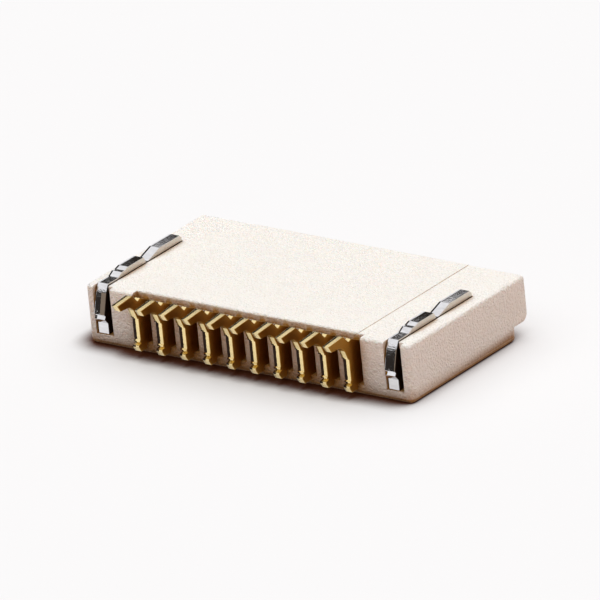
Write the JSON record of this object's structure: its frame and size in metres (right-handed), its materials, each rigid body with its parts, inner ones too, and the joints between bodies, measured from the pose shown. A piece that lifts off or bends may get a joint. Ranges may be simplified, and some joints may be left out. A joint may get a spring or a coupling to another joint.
{
  "type": "fpc connector",
  "caption": "Low surface-mount flat-cable connector with a row of stamped contacts, two solder nails and a front flip lid, lying with its solder side up.",
  "frame": {"origin": "middle of the footprint, on the surface that the lid side lies on", "axes": "+X along the row of contacts, +Y from the solder tails towards the cable's mouth, +Z out of the solder side; the part lies with its lid side down, as in the picture"},
  "size_m": [0.0068, 0.0042, 0.0012],
  "materials": {
    "housing_plastic": "pale ivory moulded polymer with a fine matt grain",
    "lid_plastic": "dark moulded polymer, satin",
    "contact_gold": "gold plating over a stamped copper alloy, bright and dull bands on the cut edges",
    "nail_tin": "bright tin plating over a stamped copper alloy"
  },
  "bodies": {
    "connector": {"housing": "housing_plastic", "contact_01": "contact_gold", "contact_02": "contact_gold", "contact_03": "contact_gold", "contact_04": "contact_gold", "contact_05": "contact_gold", "contact_06": "contact_gold", "contact_07": "contact_gold", "contact_08": "contact_gold", "contact_09": "contact_gold", "contact_10": "contact_gold", "solder_nail_left": "nail_tin", "solder_nail_right": "nail_tin"},
    "lid": {"flip_lid": "lid_plastic"}
  },
  "joints": [
    {"name": "lid_hinge", "type": "hinge", "parent": "connector", "child": "lid", "pos_m": [0, 0.00061, 0.00042], "axis": [-1, 0, 0], "range_deg": [0, 90]}
  ]
}
